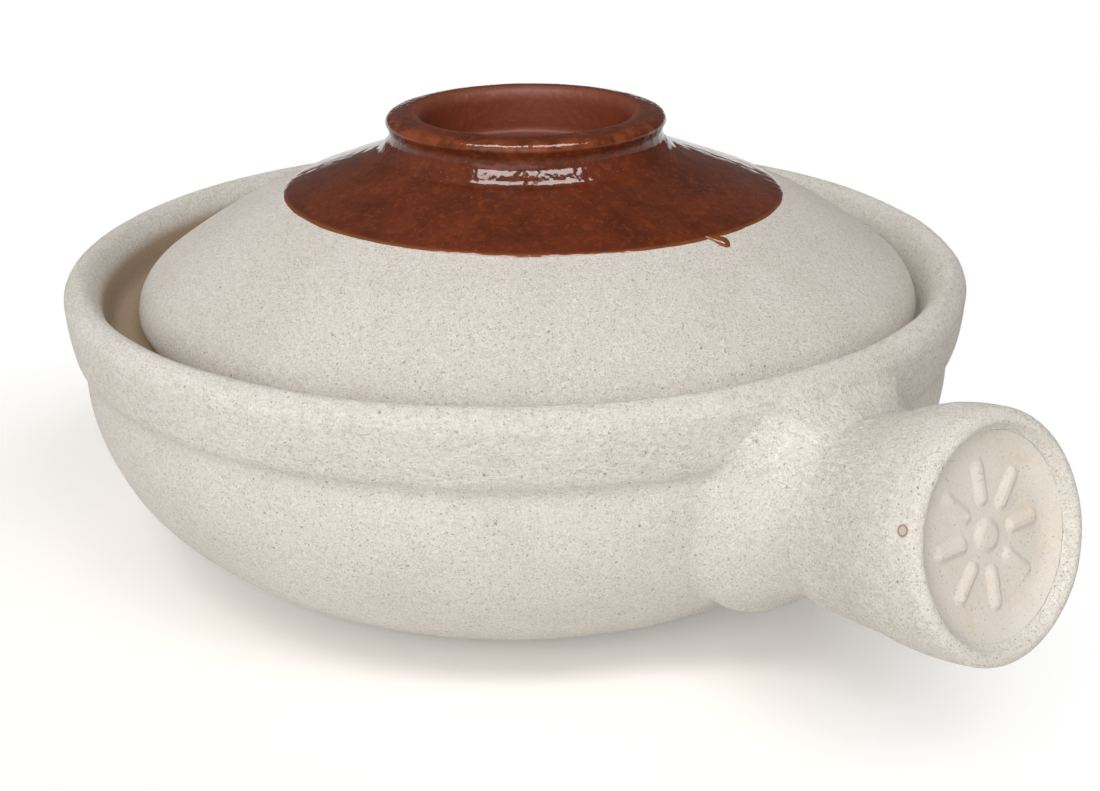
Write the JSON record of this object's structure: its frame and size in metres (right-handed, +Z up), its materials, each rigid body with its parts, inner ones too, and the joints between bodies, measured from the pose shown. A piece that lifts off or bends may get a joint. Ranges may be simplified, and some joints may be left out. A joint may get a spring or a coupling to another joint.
{
  "type": "sand pot",
  "caption": "Shallow clay cooking pot with a thick rounded rim, one hollow stub handle and a domed lid with a glazed ring knob.",
  "frame": {"origin": "middle of the flat base, on the surface that the pot stands on", "axes": "+Z up, +X along the handle"},
  "size_m": [0.2918, 0.24, 0.1189],
  "materials": {
    "raw_clay": "unglazed sandy clay with fine brown grit",
    "handle_clay": "unglazed sandy clay, scraped along the barrel",
    "disc_clay": "pressed smooth unglazed clay",
    "lid_clay": "unglazed sandy clay with fine brown grit",
    "slip": "dried and fired joining slip",
    "clear_glaze": "thin glossy food-safe lining",
    "brown_glaze": "glossy mottled red-brown glaze"
  },
  "bodies": {
    "pot": {"bowl": "raw_clay", "bowl_glaze": "clear_glaze", "handle_barrel": "handle_clay", "handle_end_disc": "disc_clay", "handle_slip_joint": "slip", "end_disc_slip_joint": "slip"},
    "lid": {"lid": "lid_clay", "lid_knob": "lid_clay", "knob_slip_joint": "slip", "lid_glaze": "brown_glaze"}
  },
  "joints": [
    {"name": "lid_lift", "type": "slide", "parent": "pot", "child": "lid", "axis": [0, 0, 1], "range_m": [0, 0.06]}
  ]
}
